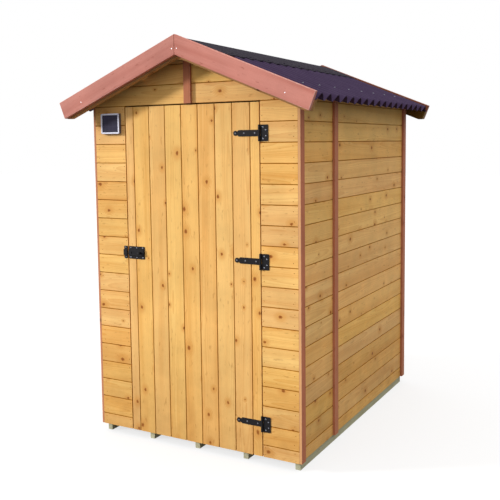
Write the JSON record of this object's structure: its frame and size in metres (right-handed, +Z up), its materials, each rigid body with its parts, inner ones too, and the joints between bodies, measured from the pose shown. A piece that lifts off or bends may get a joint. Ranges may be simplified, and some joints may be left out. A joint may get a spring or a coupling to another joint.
{
  "type": "wooden outhouse",
  "caption": "Small boarded wooden outhouse on bearers, with a pitched corrugated roof, red barge boards and trim, and a plank door on strap hinges with a slide bolt.",
  "frame": {"origin": "on the ground, under the middle of the roof outline", "axes": "+Z up, -Y out of the front door, +X to the right of someone who faces the door"},
  "size_m": [1.4558, 1.778, 2.0715],
  "materials": {
    "honey_boards": "satin honey stain",
    "plain_wood": "planed, bare",
    "treated_wood": "sawn, green treated",
    "red_stain": "matte red stain",
    "bitumen_sheet": "matte",
    "bitumen_cap": "matte",
    "black_iron": "satin black",
    "pale_plastic": "satin",
    "navy_cell": "gloss"
  },
  "bodies": {
    "cabin": {"floor_bearers": "treated_wood", "floor_deck": "plain_wood", "front_wall_left": "honey_boards", "front_wall_right": "honey_boards", "front_gable": "honey_boards", "rear_wall": "honey_boards", "rear_gable": "honey_boards", "left_wall_front": "honey_boards", "left_wall_rear": "honey_boards", "right_wall_front": "honey_boards", "right_wall_rear": "honey_boards", "corner_posts": "plain_wood", "door_posts": "plain_wood", "seam_posts": "plain_wood", "front_head_rail": "plain_wood", "rear_head_rail": "plain_wood", "left_wall_plate": "plain_wood", "right_wall_plate": "plain_wood", "ridge_beam": "plain_wood", "left_purlin": "plain_wood", "right_purlin": "plain_wood", "front_left_rafter": "plain_wood", "front_right_rafter": "plain_wood", "rear_left_rafter": "plain_wood", "rear_right_rafter": "plain_wood", "front_left_barge_board": "red_stain", "front_right_barge_board": "red_stain", "rear_left_barge_board": "red_stain", "rear_right_barge_board": "red_stain", "left_roof_sheet": "bitumen_sheet", "right_roof_sheet": "bitumen_sheet", "ridge_cap": "bitumen_cap", "corner_strips": "red_stain", "seam_strips": "red_stain", "gable_strip": "red_stain", "hinge_plates": "black_iron", "latch_keeper": "black_iron", "solar_frame": "pale_plastic", "solar_cell": "navy_cell"},
    "door": {"door_leaf": "honey_boards", "door_ledges": "plain_wood", "hinge_straps": "black_iron", "latch_plate": "black_iron"},
    "bolt": {"latch_bolt": "black_iron"}
  },
  "joints": [
    {"name": "door_swing", "type": "hinge", "parent": "cabin", "child": "door", "pos_m": [0.391, -0.7765, 0.995], "axis": [0, 0, 1], "range_deg": [0, 130]},
    {"name": "bolt_slide", "type": "slide", "parent": "door", "child": "bolt", "axis": [-1, 0, 0], "range_m": [0, 0.048]}
  ]
}
